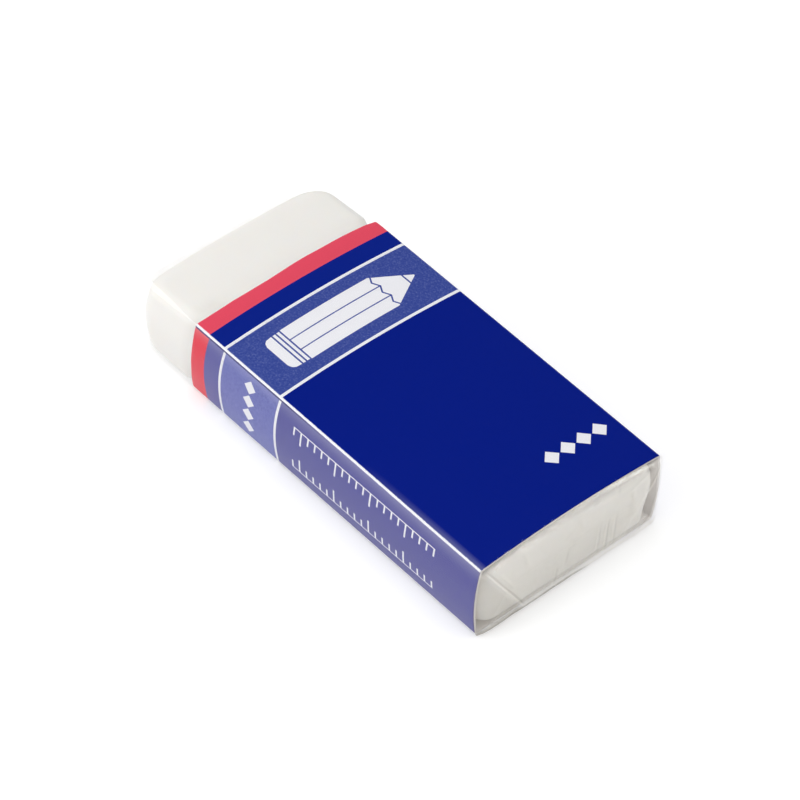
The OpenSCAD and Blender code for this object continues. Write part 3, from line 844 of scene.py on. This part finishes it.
def make_film(name, creased):
    """Clear glossy film. Its two faces mirror a few hundredths of what is in front of them and more at a
    slant, and the rest passes through. Folded film is creased all over, with painted highlights along its
    crests and painted shade at their feet."""
    material, tree, shader = new_material(name)
    grain, clouds = add_grain(tree, 1.2 if creased else 0.8, 6.0)
    slant = tree.nodes.new("ShaderNodeLayerWeight")
    slant.inputs["Blend"].default_value = 0.5
    grazing = add_math(tree, "POWER", slant.outputs["Facing"], 4.0)
    mirror = add_math(tree, "MULTIPLY_ADD", grazing, 0.47, FACE_ON_MIRROR)
    shader.inputs["Base Color"].default_value = (0.97, 0.98, 1.0, 1)
    if creased:
        marks = {}
        for name_of in ("crest", "shade", "haze", "sheet"):
            mark = tree.nodes.new("ShaderNodeAttribute")
            mark.attribute_name = name_of
            marks[name_of] = mark.outputs["Fac"]
        folded = add_math(tree, "MULTIPLY_ADD", clouds, 0.12, 0.03)
        # The painted crest highlights and painted shade raise how much the film mirrors
        folded = add_math(tree, "MULTIPLY_ADD", marks["crest"], 0.34, folded)
        folded = add_math(tree, "MULTIPLY_ADD", marks["shade"], 0.26, folded)
        mirror = add_math(tree, "MULTIPLY_ADD", folded, marks["haze"], mirror)
        mirror = add_math(tree, "MULTIPLY", mirror, marks["sheet"])
        # Painted shade darkens the film's colour where the shade outweighs the crest highlight
        painted_shade_share = add_math(tree, "SUBTRACT", marks["shade"], marks["crest"])
        painted_shade_share = add_math(tree, "MULTIPLY", painted_shade_share, 1.6, clamp=True)
        colour = mix_colours(tree, painted_shade_share, FILM_BRIGHT, FILM_SHADE_PAINT)
        tree.links.new(colour, shader.inputs["Base Color"])
    tree.links.new(add_math(tree, "MINIMUM", mirror, 1.0), shader.inputs["Alpha"])
    shader.inputs["Metallic"].default_value = 1.0
    roughness = add_math(tree, "MULTIPLY_ADD", clouds, 0.06, 0.10 if creased else 0.03)
    tree.links.new(roughness, shader.inputs["Roughness"])
    add_bump(tree, shader, grain, 0.25 if creased else 0.01, 0.6 if creased else 0.25)
    return material


film, folded_film = make_film("clear_film", creased=False), make_film("folded_film", creased=True)
# Each flap's end, its way up (1) or down (-1), where it starts and stops from its root, half
# its greatest width, and how far it stands off
film_pieces = [
    build_film_skin(),
    build_end_flap("film_base_flap_covered", covered_end_x, 1, 0.15, 5.43, 12.0, 0.05),
    build_end_flap("film_top_flap_covered", covered_end_x, -1, -0.1, 8.15, 12.0, 0.1),
    build_end_flap("film_base_flap_bare", bare_end_x, 1, 0.25, 5.43, 9.5, 0.05),
    build_end_flap("film_top_flap_bare", bare_end_x, -1, 1.0, 7.5, 9.2, 0.08),
    build_film_seam(),
]
for piece in film_pieces:
    if piece.name == "film_skin":
        piece.data.materials.append(film)
    piece.data.materials.append(film if piece.name == "film_seam" else folded_film)
    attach(piece, "root")
    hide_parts("film_wrap")

# A plain white table and an even white room. Both look white to the eye and in gloss, and
# the table still takes the pack's soft shadow.
TABLE_GLOW, ROOM_LIGHT = 0.42, 0.62


def seen_rays(tree):
    """1 for rays of the eye, straight, mirrored or through clear film, and 0 for light."""
    path = tree.nodes.new("ShaderNodeLightPath")
    seen = path.outputs["Is Camera Ray"]
    for kind in ("Is Glossy Ray", "Is Transmission Ray"):
        seen = add_math(tree, "MAXIMUM", seen, path.outputs[kind])
    return seen


bpy.ops.mesh.primitive_plane_add(size=6.0, location=(0, 0, -0.00003))
table = bpy.context.object
table.name = "table"
table_material, tree, shader = new_material("white_table")
shader.inputs["Base Color"].default_value = (0.76, 0.76, 0.76, 1)
shader.inputs["Roughness"].default_value = 0.9
shader.inputs["Specular IOR Level"].default_value = 0.0
shader.inputs["Emission Color"].default_value = (1, 1, 1, 1)
tree.links.new(product(tree, seen_rays(tree), TABLE_GLOW), shader.inputs["Emission Strength"])
table.data.materials.append(table_material)

world = bpy.data.worlds.new("studio")
bpy.context.scene.world = world
world.use_nodes = True
tree = world.node_tree
background = tree.nodes["Background"]
direction = tree.nodes.new("ShaderNodeTexCoord")
parts = tree.nodes.new("ShaderNodeSeparateXYZ")
tree.links.new(direction.outputs["Generated"], parts.inputs[0])
# In gloss the white backdrop reaches part of the way up, and the ceiling above it is dark
high = add_math(tree, "DIVIDE", add_math(tree, "SUBTRACT", parts.outputs["Z"], 0.12), 0.35, clamp=True)
backdrop = add_math(tree, "SUBTRACT", 1.0, add_math(tree, "MULTIPLY", high, 0.985))
strength = tree.nodes.new("ShaderNodeMix")
tree.links.new(seen_rays(tree), strength.inputs[0])
strength.inputs[2].default_value = ROOM_LIGHT
tree.links.new(backdrop, strength.inputs[3])
tree.links.new(strength.outputs[0], background.inputs["Strength"])
background.inputs["Color"].default_value = (1, 1, 1, 1)


def add_lamp(name, direction, distance, width, height, strength):
    """A soft box that faces the pack. Its strength is its brightness as a white surface."""
    lamp = bpy.data.lights.new(name, "AREA")
    lamp.shape, lamp.size, lamp.size_y = "RECTANGLE", width, height
    lamp.energy = strength * math.pi * width * height
    holder = bpy.data.objects.new(name, lamp)
    bpy.context.scene.collection.objects.link(holder)
    way = Vector(direction).normalized()
    holder.location = way * distance
    holder.rotation_mode = "QUATERNION"
    holder.rotation_quaternion = way.to_track_quat("Z", "Y")


# A large soft box in front on the left, a panel overhead, and a thin strip on the right that
# draws the edges of the film
add_lamp("left_soft_box", (-0.49, -0.73, 0.48), 0.6, 0.52, 0.34, 2.3)
add_lamp("overhead_panel", (0.0, 0.05, 1.0), 0.9, 0.5, 0.5, 2.4)
add_lamp("right_strip", (0.87, 0.48, 0.12), 0.6, 0.3, 0.05, 2.5)

# The camera stands where the photograph was taken from: about 0.44 m away, 47 degrees up,
# with a long lens.
AZIMUTH, ELEVATION, ROLL = (math.radians(a) for a in (45.48, 46.64, 3.93))
SENSOR_W, LENS_IN_SENSORS, DISTANCE = 36.0, 4518 / 800, 442.0
flat = math.cos(ELEVATION)
back = Vector((math.sin(AZIMUTH) * flat, -math.cos(AZIMUTH) * flat, math.sin(ELEVATION)))
level = Vector((math.cos(AZIMUTH), math.sin(AZIMUTH), 0))
upright = back.cross(level)
across = math.cos(ROLL) * level + math.sin(ROLL) * upright
upward = -math.sin(ROLL) * level + math.cos(ROLL) * upright
view = bpy.data.cameras.new("photo_view")
view.sensor_width, view.lens = SENSOR_W, LENS_IN_SENSORS * SENSOR_W
view.clip_start, view.clip_end = 0.01, 20.0
camera = bpy.data.objects.new("photo_view", view)
bpy.context.scene.collection.objects.link(camera)
camera.matrix_world = Matrix.LocRotScale(
    (across * 0.96 + upward * 2.54 + back * DISTANCE - Vector((0.1, 0, -0.2))) * MM,
    Matrix((across, upward, back)).transposed(),
    None,
)
bpy.context.scene.camera = camera
bpy.context.scene.view_settings.view_transform = "Standard"
